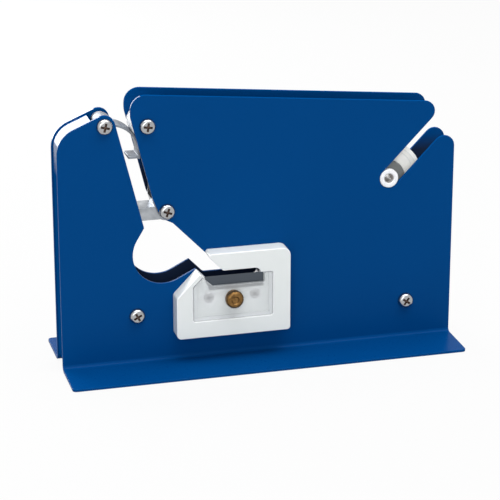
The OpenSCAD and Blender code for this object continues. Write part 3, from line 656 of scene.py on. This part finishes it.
def cross_recess(bm, top, reach, half, depth, taper=0.68, point=0.25):
    """Tapered cross recess in a head's open top: the cross is sunk and the rim filled up to it."""
    rim = [e for e in bm.edges if e.is_boundary and all(abs(v.co.z - top) < WELD for v in e.verts)]
    old = set(bm.faces)
    grid = bmesh.ops.create_grid(bm, x_segments=3, y_segments=3, size=1)["verts"]
    for v in grid:
        v.co = [math.copysign(reach if abs(c) > 0.5 else half, c) for c in v.co[:2]] + [top]
    faces = [f for f in bm.faces if f not in old]
    wings = [f for f in faces if min(abs(f.calc_center_median().x), abs(f.calc_center_median().y)) < half]
    bmesh.ops.delete(bm, geom=[f for f in faces if f not in wings], context="FACES")
    outline = [e for e in {e for f in wings for e in f.edges} if e.is_boundary]
    sunk = bmesh.ops.extrude_face_region(bm, geom=wings)["geom"]
    bottom = only("BMVert", sunk)
    bmesh.ops.translate(bm, vec=(0, 0, -depth), verts=bottom)
    bmesh.ops.scale(bm, vec=(taper, taper, 1), verts=bottom)
    heart = [f for f in only("BMFace", sunk) if f.calc_center_median().xy.length < WELD]
    bmesh.ops.poke(bm, faces=heart, offset=-depth * point)
    bmesh.ops.delete(bm, geom=[f for f in wings if f.is_valid], context="FACES_ONLY")
    walls = {f for v in bottom for f in v.link_faces}
    for face in walls:
        face.material_index = 1
    lip = bmesh.ops.triangle_fill(bm, use_beauty=True, edges=rim + [e for e in outline if e.is_valid])
    for face in only("BMFace", lip["geom"]):
        face.material_index = 0


def leaving_angle(rest, radius, side):
    """Angle on a coil where its straight leg from a rest point touches it."""
    return math.atan2(rest.y, rest.x) + side * math.acos(radius / rest.length)


def wound_wire(bm, radius, wire_r, turns, pitch, first, last, sides=12, turn_steps=40):
    """Open coil round +Z, with a straight leg from the first rest point and one to the last."""
    start = leaving_angle(first, radius, 1)
    sweep = turns * math.tau + (leaving_angle(last, radius, -1) - start) % math.tau
    climb = pitch * sweep / math.tau
    ring = bmesh.ops.create_circle(bm, segments=sides, radius=wire_r)["verts"]
    tilt = math.pi / 2 + math.atan2(pitch, math.tau * radius)
    bmesh.ops.transform(bm, verts=ring, matrix=Matrix.Rotation(start, 4, "Z")
                        @ Matrix.Translation((radius, 0, 0)) @ Matrix.Rotation(tilt, 4, "X"))
    edges = list({e for v in ring for e in v.link_edges})
    steps = int(sweep / math.tau * turn_steps)
    coil = bmesh.ops.spin(
        bm, geom=ring + edges, cent=(0, 0, 0), axis=(0, 0, 1), dvec=(0, 0, climb / steps),
        angle=sweep, steps=steps)
    far = only("BMEdge", coil["geom_last"])
    for loop, angle, rest in ((edges, start, first), (far, start + sweep, last)):
        tip = only("BMVert", bmesh.ops.extrude_edge_only(bm, edges=loop)["geom"])
        leaves = Vector((math.cos(angle), math.sin(angle))) * radius
        bmesh.ops.translate(bm, vec=(rest - leaves).to_3d(), verts=tip)
    bmesh.ops.holes_fill(bm, edges=[e for e in bm.edges if e.is_boundary], sides=0)


def add_piece(bm, name, body, nodes, finishes, made_new=False, twist=None):
    """Makes a piece of a bmesh: it rides a body, stands for CAD nodes and takes its finishes.

    A twist names a second body and the two points between which the piece turns from one to the other.
    """
    if made_new:
        bmesh.ops.remove_doubles(bm, verts=bm.verts, dist=WELD)
        bmesh.ops.recalc_face_normals(bm, faces=bm.faces)
    mesh = bpy.data.meshes.new(name)
    bm.to_mesh(mesh)
    bm.free()
    mesh.shade_smooth()
    mesh.set_sharp_from_angle(angle=SHARP)
    for item in finishes:
        mesh.materials.append(finish(item))
    piece = bpy.data.objects.new(name, mesh)
    bpy.context.scene.collection.objects.link(piece)
    even = piece.modifiers.new("even_normals", "WEIGHTED_NORMAL")
    even.keep_sharp = True
    if twist:
        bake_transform(piece, body, *twist)
    else:
        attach(piece, body)
    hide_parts(*nodes)
    return piece


def rounded_piece(node, look, body, coat, width, segments=3, sharp=25):
    """A piece that is a CAD node with its sharp edges rounded."""
    bm = soften(node_copy(node), width, segments, sharp)
    add_piece(bm, f"{node}_{look}", body, [node], [coat])


class PieceOperator:
    """What the piece operators share."""

    bl_options = {"REGISTER"}

    def execute(self, context):
        self.build(context.scene.sealer_sizes)
        return {"FINISHED"}


# Pieces of the stand


class SEALER_OT_plates(PieceOperator, bpy.types.Operator):
    """Front and rear plate and the strip that closes the left end, with rounded enamelled edges"""

    bl_idname = "sealer.plates"
    bl_label = "Plates"

    def build(self, size):
        for node, side, gloss, reach, coat in (
                ("front_plate", FRONT, 0.5, RUN_FRONT, "enamel"),
                ("rear_plate", REAR, 1, RUN_REAR, "enamel"),
                ("end_cover", FRONT, 1, RUN_FRONT, "enamel_flat")):
            bm = soften(node_copy(node), size.plate_edge)
            self.mark(bm, side, gloss, reach)
            add_piece(bm, node + "_enamelled", "stand", [node], [coat, "enamel_flat"])

    def mark(self, bm, side, gloss, reach):
        """Marks the faces between the plates for a painted shade, the matt edges on top and the run enamel
        at the left.
        """
        bm.normal_update()
        inside, run = (bm.faces.layers.float.new(name) for name in ("inside", "run"))
        for face in bm.faces:
            out = face.normal
            spot = face.calc_center_median()
            face[inside] = float(out.y * side < -FACING)
            face.material_index = int(out.z > LEANING and spot.z > CAD_BOX[1][2] / 2)
            if out.x < -LEANING and spot.x < CAD_BOX[0][0] + reach:
                face[run] = gloss


class SEALER_OT_cross_bars(PieceOperator, bpy.types.Operator):
    """Turned bars, pivots and the stop between the plates"""

    bl_idname = "sealer.cross_bars"
    bl_label = "Cross bars"

    def build(self, size):
        for node in ("cross_bars", "finger_pivot", "roller_spindle", "lever_pivot", "lever_stop"):
            rounded_piece(node, "turned", "stand", "bar_turned", size.small_edge, segments=2)


class SEALER_OT_plate_screws(PieceOperator, bpy.types.Operator):
    """Pan-head screws with a cross recess, five on each plate"""

    bl_idname = "sealer.plate_screws"
    bl_label = "Plate screws"

    def build(self, size):
        low, high = corners("cross_bars")
        bar = size.bar_d / 2
        spots = [middle(n) for n in ("finger_pivot", "roller_spindle", "lever_pivot")]
        spots += [Vector((low.x + bar, 0, high.z - bar)), Vector((high.x - bar, 0, low.z + bar))]
        turns = [math.radians(a) for a in HEAD_TURNS]
        for side, node in ((FRONT, "front_screws"), (REAR, "rear_screws")):
            tip = corners(node)[1 if side == FRONT else 0].y
            bm = bmesh.new()
            for spot, turn in zip(spots, turns):
                self.screw(bm, size, Vector((spot.x, tip + side * size.shank_l, spot.z)), side, turn * side)
            add_piece(bm, node + "_nickel", "stand", [node],
                      ["nickel_bright", "recess_oiled"], made_new=True)

    def screw(self, bm, size, place, side, turn):
        r, h, shank, foot = size.head_d / 2, size.head_h, size.shank_d / 2, -size.shank_l
        profile = [(0, foot), (shank - CHAMFER, foot), (shank, CHAMFER + foot),
                   (shank, 0), (r - HEAD_LIP, 0), (r, HEAD_LIP)]
        for a in arc(math.pi / 2, 12):
            profile.append((r - DOME_W * (1 - math.cos(a)), h - DOME_H * (1 - math.sin(a))))
        one = bmesh.new()
        turned(one, profile, steps=48, closed=False)
        cross_recess(one, h, *HEAD_RECESS)
        drop_in(bm, one, place, side, turn)


# Mechanism in the neck opening


class SEALER_OT_guide_roller(PieceOperator, bpy.types.Operator):
    """Grooved nylon roller that guides the tape"""

    bl_idname = "sealer.guide_roller"
    bl_label = "Guide roller"

    def build(self, size):
        r, half = round_size("guide_roller")
        groove = size.groove_r
        pitch = 2 * half / (size.grooves + 1)
        end = tube_end(ROLLER_BORE, r, half, CHAMFER)
        rings = []
        for k in range(1, size.grooves + 1):
            for a in arc(math.pi, 8):
                rings.append((r - groove * math.sin(a), k * pitch - half - groove * math.cos(a)))
        bm = bmesh.new()
        stand_on(bm, turned(bm, end + rings + far_end(end), steps=96), middle("guide_roller"))
        add_piece(bm, "guide_roller_nylon", "roller", ["guide_roller"], ["nylon_turned"],
                  made_new=True)


class SEALER_OT_gripper_finger(PieceOperator, bpy.types.Operator):
    """Curved zinc-plated finger with its rolled eye"""

    bl_idname = "sealer.gripper_finger"
    bl_label = "Gripper finger"

    def build(self, size):
        rounded_piece("gripper_finger", "zinc", "finger", "strip_satin", size.stamped_edge)


class SEALER_OT_springs(PieceOperator, bpy.types.Operator):
    """Torsion springs of the finger and the lever"""

    bl_idname = "sealer.springs"
    bl_label = "Springs"

    def build(self, size):
        for node, pivot, front, rear in (("finger_spring", "finger_pivot", "stand", "finger"),
                                         ("lever_spring", "lever_pivot", "lever", "stand")):
            wire_r, centre = size.wire_d / 2, middle(pivot)
            first, last = self.leg_ends(node)
            twist = (rear, (centre.x, first.y + wire_r, centre.z), (centre.x, last.y - wire_r, centre.z))
            bm = bmesh.new()
            wound_wire(bm, size.coil_r, wire_r, size.turns, size.coil_pitch,
                       (first - centre).xz, (last - centre).xz)
            bmesh.ops.transform(bm, verts=bm.verts, matrix=Matrix.Rotation(math.pi / 2, 4, "X"))
            bmesh.ops.scale(bm, vec=(1, -1, 1), verts=bm.verts)
            bmesh.ops.translate(bm, vec=(centre.x, first.y, centre.z), verts=bm.verts)
            add_piece(bm, node + "_wire", front, [node], ["wire_drawn"],
                      made_new=True, twist=twist)

    def leg_ends(self, node, sides=6):
        """Centres of the flat ends of a solid spring's six-sided wire, the front one first."""
        bm = node_copy(node)
        ends = [face.calc_center_median() for face in bm.faces if len(face.verts) == sides]
        bm.free()
        return sorted(ends, key=lambda end: end.y)


class SEALER_OT_knife_lever(PieceOperator, bpy.types.Operator):
    """Knife lever, its serrated tape knife and the rivets"""

    bl_idname = "sealer.knife_lever"
    bl_label = "Knife lever"

    def build(self, size):
        rounded_piece("knife_lever", "zinc", "lever", "zinc_bright", size.stamped_edge)
        rounded_piece("tape_knife", "ground", "lever", "blade_ground", KNIFE_EDGE, 2)
        rounded_piece("knife_rivets", "zinc", "lever", "zinc_bright", size.small_edge)


# Tape wheel


class SEALER_OT_tape_wheel(PieceOperator, bpy.types.Operator):
    """Tape wheel, the axle tube in the open slots and its two collars"""

    bl_idname = "sealer.tape_wheel"
    bl_label = "Tape wheel"

    def build(self, size):
        hub = middle("tape_axle")
        self.wheel(hub)
        self.axle(hub)
        self.collars(size, hub)

    def wheel(self, hub):
        bm = soften(node_copy("tape_wheel"), WHEEL_EDGE)
        mark = bm.faces.layers.float["edge"]
        for face in bm.faces:
            if (face.calc_center_median() - hub).xz.length > PALE_FROM:
                face[mark] = 1
        add_piece(bm, "tape_wheel_moulded", "wheel", ["tape_wheel"], ["wheel_moulded"])

    def axle(self, hub):
        end = tube_end(AXLE_BORE, *round_size("tape_axle"), MOUTH_CHAMFER)
        bm = bmesh.new()
        stand_on(bm, turned(bm, end + far_end(end)), hub)
        soften(bm, TURNED_EDGE)
        # The bore's faces are marked groove for a painted shade
        mark = bm.faces.layers.float.new("groove")
        for face in bm.faces:
            face[mark] = float((face.calc_center_median() - hub).xz.length < AXLE_BORE + BORE_SHADE_REACH)
        add_piece(bm, "tape_axle_tube", "axle", ["tape_axle"], ["axle_moulded"],
                  made_new=True)

    def collars(self, size, hub):
        low, high = corners("axle_collars")
        bore, outer = (round_size(node)[0] for node in ("tape_axle", "axle_collars"))
        thick = size.collar_t
        profile = [
            (bore, -thick), (outer, -thick), (outer, -FINE_CHAMFER), (outer - FINE_CHAMFER, 0), (bore, 0)]
        bm = bmesh.new()
        for side, y in ((FRONT, low.y), (REAR, high.y)):
            one = bmesh.new()
            turned(one, profile)
            soften(one, COLLAR_EDGE, 2)
            drop_in(bm, one, Vector((hub.x, y, hub.z)), side)
        add_piece(bm, "axle_collars_faced", "axle", ["axle_collars"], ["collar_faced"],
                  made_new=True)


# Neck trimmer


class SEALER_OT_trimmer_block(PieceOperator, bpy.types.Operator):
    """Moulded trimmer block and the clear guard in its pocket"""

    bl_idname = "sealer.trimmer_block"
    bl_label = "Trimmer block"

    def build(self, size):
        bm = soften(node_copy("trimmer_housing"), size.moulded_edge)
        self.darken_slot(bm)
        add_piece(bm, "trimmer_block_moulded", "stand", ["trimmer_housing"],
                  ["block_moulded"])
        bm = node_copy("blade_guard")
        back = [v for v in bm.verts if v.co.y > corners("blade_guard")[1].y - size.guard_air]
        bmesh.ops.translate(bm, vec=(0, -size.guard_air, 0), verts=back)
        soften(bm, size.guard_edge)
        self.add_rim(bm, size)
        bm.normal_update()
        rear = bm.faces.layers.float.new("rear")
        for face in bm.faces:
            face[rear] = float(face.normal.y > HALFWAY)
        add_piece(bm, "blade_guard_clear", "stand", ["blade_guard"], ["guard_clear"])

    def add_rim(self, bm, size):
        """Raises a rim along the left, lower and right edge of the guard's front."""
        low, high = corners("blade_guard")
        left, right, foot = low.x + size.guard_rim, high.x - size.guard_rim, low.z + size.guard_rim
        rim = node_copy("blade_guard")
        rim.normal_update()
        bmesh.ops.delete(rim, geom=[f for f in rim.faces if f.normal.y > -FACING], context="FACES")
        bmesh.ops.triangulate(rim, faces=rim.faces)
        for spot, across in (((left, 0, 0), "X"), ((right, 0, 0), "X"), ((0, 0, foot), "Z")):
            whole = [*rim.verts, *rim.edges, *rim.faces]
            normal = [float(axis == across) for axis in "XYZ"]
            bmesh.ops.bisect_plane(rim, geom=whole, plane_co=spot, plane_no=normal)
        middles = {face: face.calc_center_median() for face in rim.faces}
        field = [face for face, spot in middles.items() if left < spot.x < right and spot.z > foot]
        bmesh.ops.delete(rim, geom=field, context="FACES")
        bmesh.ops.dissolve_limit(rim, angle_limit=FLAT, verts=rim.verts, edges=rim.edges)
        bmesh.ops.translate(rim, vec=(0, size.guard_air, 0), verts=rim.verts)
        raised = bmesh.ops.extrude_face_region(rim, geom=rim.faces[:])["geom"]
        bmesh.ops.translate(rim, vec=(0, -size.rim_h - size.guard_air, 0), verts=only("BMVert", raised))
        bmesh.ops.recalc_face_normals(rim, faces=rim.faces)
        soften(rim, size.rim_edge)
        drop_in(bm, rim)

    def darken_slot(self, bm):
        """Marks the walls of the slot near the blade's right end, which read dark in the photograph, for a
        painted shade.
        """
        end = corners("trimmer_blade")[1]
        bm.normal_update()
        slot = bm.faces.layers.float.new("slot")
        for face in bm.faces:
            spot = face.calc_center_median() - end
            near = -SLOT_LEFT < spot.x < SLOT_RIGHT and -SLOT_DOWN < spot.z < SLOT_UP
            face[slot] = float(near and face.normal.y > -MOSTLY)


class SEALER_OT_trimmer_blade(PieceOperator, bpy.types.Operator):
    """Ground trimming blade"""

    bl_idname = "sealer.trimmer_blade"
    bl_label = "Trimmer blade"

    def build(self, size):
        rounded_piece(
            "trimmer_blade", "ground", "stand", "blade_ground", BLADE_EDGE,
            segments=2, sharp=8)


class SEALER_OT_trimmer_fasteners(PieceOperator, bpy.types.Operator):
    """Countersunk screws under the guard, their nuts and the clamp stud"""

    bl_idname = "sealer.trimmer_fasteners"
    bl_label = "Trimmer fasteners"

    def build(self, size):
        low, high = corners("trimmer_screws")
        foot = low.y - high.y
        profile = [
            (0, foot), (SUNK_SHANK - FINE_CHAMFER, foot), (SUNK_SHANK, FINE_CHAMFER + foot),
            (SUNK_SHANK, SUNK_SHANK - SUNK_R), (SUNK_R - SUNK_LIP, -SUNK_LIP), (SUNK_R - 2 * SUNK_LIP, 0),
            (SUNK_FLAT, 0)]
        bm = bmesh.new()
        for x, turn in zip((low.x + SUNK_R, high.x - SUNK_R), SUNK_TURNS):
            one = bmesh.new()
            turned(one, profile, steps=48, closed=False)
            cross_recess(one, 0, *SUNK_RECESS)
            drop_in(bm, one, Vector((x, low.y, middle("trimmer_screws").z)), FRONT, turn)
        add_piece(bm, "trimmer_screws_nickel", "stand", ["trimmer_screws"],
                  ["nickel_bright", "recess_oiled"], made_new=True)
        rounded_piece("trimmer_nuts", "nickel", "stand", "nickel_bright", size.small_edge)
        rounded_piece("clamp_stud", "brass", "stand", "brass_turned", size.small_edge)


class SEALER_OT_clamp_nut(PieceOperator, bpy.types.Operator):
    """Knurled brass clamp nut on its washer"""

    bl_idname = "sealer.clamp_nut"
    bl_label = "Clamp nut"

    def build(self, size):
        centre = middle("clamp_washer")
        outer, half = round_size("clamp_washer")
        ring = [(WASHER_BORE, 0), (outer, 0), (outer, 2 * half), (WASHER_BORE, 2 * half)]
        seat = Vector((centre.x, centre.y + half, centre.z))
        bm = bmesh.new()
        stand_on(bm, turned(bm, ring), seat)
        soften(bm, TURNED_EDGE)
        add_piece(bm, "clamp_washer_brass", "washer", ["clamp_washer"], ["brass_turned"],
                  made_new=True)
        low, high = corners("clamp_nut")
        self.knurled(size, high.y - low.y, Vector((centre.x, high.y, centre.z)))

    def knurled(self, size, h, seat):
        r = size.nut_d / 2
        profile = [(NUT_BORE, FINE_CHAMFER), (NUT_BORE + FINE_CHAMFER, 0)]
        profile += [(r - inset * MM, up * MM) for inset, up in NUT_REAR]
        profile += [(r - inset * MM, h - down * MM) for inset, down in NUT_FRONT]
        profile += [(NUT_BORE + CHAMFER, h), (NUT_BORE, h - CHAMFER)]
        bm = bmesh.new()
        steps = RIDGE_STEPS * size.ridges
        verts = turned(bm, profile, steps)
        mark = bm.faces.layers.float.new("groove")
        hollow = []
        for v in verts:
            column = round(math.atan2(v.co.y, v.co.x) / math.tau * steps) % RIDGE_STEPS
            if v.co.xy.length > r - RIDGE_DEEP and column:
                deep = RIDGE_DEEP if 2 * column == RIDGE_STEPS else RIDGE_SIDE
                v.co.xy *= 1 - deep / v.co.xy.length
                hollow.append(v)
        for face in {f for v in hollow for f in v.link_faces}:
            face[mark] = sum(v in hollow for v in face.verts) / len(face.verts)
        stand_on(bm, verts, seat)
        add_piece(bm, "clamp_nut_knurled", "nut", ["clamp_nut"], ["brass_turned"], made_new=True)


# Stage


class SEALER_OT_stage(bpy.types.Operator):
    """Camera at the photograph's angle, pale floor, even light and three soft lamps"""

    bl_idname = "sealer.stage"
    bl_label = "Stage"
    bl_options = {"REGISTER"}

    def execute(self, context):
        look = context.scene.sealer_stage
        target = Vector(look.target)
        flat = math.cos(look.elevation)
        back = Vector((
            -math.sin(look.azimuth) * flat, -math.cos(look.azimuth) * flat, math.sin(look.elevation)))
        self.camera(context.scene, look, target, back)
        self.floor(context.scene, look)
        self.world(context.scene, look)
        for name, (side, place, aim) in LAMPS.items():
            self.lamp(context.scene, name, getattr(look, name + "_power"), side, Vector(place), Vector(aim))
        context.scene.view_settings.view_transform = "Standard"
        return {"FINISHED"}

    def camera(self, scene, look, target, back):
        data = bpy.data.cameras.new("photo_view")
        data.lens = look.lens
        data.sensor_width = look.sensor
        camera = bpy.data.objects.new("photo_view", data)
        camera.location = target + back * look.distance
        camera.rotation_euler = (-back).to_track_quat("-Z", "Y").to_euler()
        scene.collection.objects.link(camera)
        scene.camera = camera

    def floor(self, scene, look):
        bm = bmesh.new()
        bmesh.ops.create_grid(bm, x_segments=4, y_segments=4, size=FLOOR_HALF)
        bmesh.ops.translate(bm, vec=(0, 0, -FLOOR_DROP), verts=bm.verts)
        mesh = bpy.data.meshes.new("floor")
        bm.to_mesh(mesh)
        bm.free()
        material = bpy.data.materials.new("pale_floor")
        shade = Shade(material)
        grain = shade.noise(shade.place(), scale=40, detail=3)
        matt = shade.node("ShaderNodeBsdfDiffuse", {}, {
            "Color": shade.mix(grain * 0.1, look.floor, FLOOR_GRAIN)})
        white = shade.node("ShaderNodeEmission", {}, {"Color": (1, 1, 1, 1), "Strength": 1.0})
        shade.node_out("ShaderNodeOutputMaterial", shade.node(
            "ShaderNodeMixShader", {}, {0: seen(shade) * FLOOR_WHITE, 1: matt, 2: white}))
        mesh.materials.append(material)
        floor = bpy.data.objects.new("floor", mesh)
        scene.collection.objects.link(floor)

    def world(self, scene, look):
        world = bpy.data.worlds.new("even_light")
        shade = Shade(world)
        strength = look.ambient + seen(shade) * (1 - look.ambient)
        shade.node_out("ShaderNodeOutputWorld", shade.node(
            "ShaderNodeBackground", {}, {"Color": (1, 1, 1, 1), "Strength": strength}))
        scene.world = world

    def lamp(self, scene, name, power, side, place, target):
        data = bpy.data.lights.new(name, "AREA")
        data.shape = "SQUARE"
        data.size = side
        data.energy = power
        lamp = bpy.data.objects.new(name, data)
        lamp.location = place
        lamp.rotation_euler = (target - place).to_track_quat("-Z", "Y").to_euler()
        scene.collection.objects.link(lamp)


def seen(shade):
    """1 where a camera, glossy or transmission ray meets the background, else 0."""
    total = 0
    for ray in ("Is Camera Ray", "Is Glossy Ray", "Is Transmission Ray"):
        total = shade.node("ShaderNodeLightPath", out=ray) + total
    return shade.node("ShaderNodeClamp", {}, {"Value": total})


# Sidebar and start


class SEALER_PT_sidebar(bpy.types.Panel):
    """Sizes, colours and build steps of the sealer"""

    bl_idname = "SEALER_PT_sidebar"
    bl_label = "Bag neck sealer"
    bl_space_type = "VIEW_3D"
    bl_region_type = "UI"
    bl_category = "Sealer"

    def draw(self, context):
        for group in (context.scene.sealer_sizes, context.scene.sealer_colours, context.scene.sealer_stage):
            box = self.layout.box()
            for name in group.__annotations__:
                box.prop(group, name)
        for operator in OPERATORS:
            self.layout.operator(operator.bl_idname)


GROUPS = {"sealer_sizes": SealerSizes, "sealer_colours": SealerColours, "sealer_stage": SealerStage}
OPERATORS = (
    SEALER_OT_stage,
    SEALER_OT_plates,
    SEALER_OT_cross_bars,
    SEALER_OT_plate_screws,
    SEALER_OT_guide_roller,
    SEALER_OT_gripper_finger,
    SEALER_OT_springs,
    SEALER_OT_knife_lever,
    SEALER_OT_tape_wheel,
    SEALER_OT_trimmer_block,
    SEALER_OT_trimmer_blade,
    SEALER_OT_trimmer_fasteners,
    SEALER_OT_clamp_nut,
)


def register():
    for name, group in GROUPS.items():
        bpy.utils.register_class(group)
        setattr(bpy.types.Scene, name, bpy.props.PointerProperty(type=group))
    for cls in (*OPERATORS, SEALER_PT_sidebar):
        bpy.utils.register_class(cls)


def unregister():
    for cls in (SEALER_PT_sidebar, *reversed(OPERATORS)):
        bpy.utils.unregister_class(cls)
    for name, group in reversed(GROUPS.items()):
        delattr(bpy.types.Scene, name)
        bpy.utils.unregister_class(group)


def main():
    register()
    bpy.ops.sealer.stage()
    bpy.ops.sealer.plates()
    bpy.ops.sealer.cross_bars()
    bpy.ops.sealer.plate_screws()
    bpy.ops.sealer.guide_roller()
    bpy.ops.sealer.gripper_finger()
    bpy.ops.sealer.springs()
    bpy.ops.sealer.knife_lever()
    bpy.ops.sealer.tape_wheel()
    bpy.ops.sealer.trimmer_block()
    bpy.ops.sealer.trimmer_blade()
    bpy.ops.sealer.trimmer_fasteners()
    bpy.ops.sealer.clamp_nut()


if __name__ == "__main__":
    main()
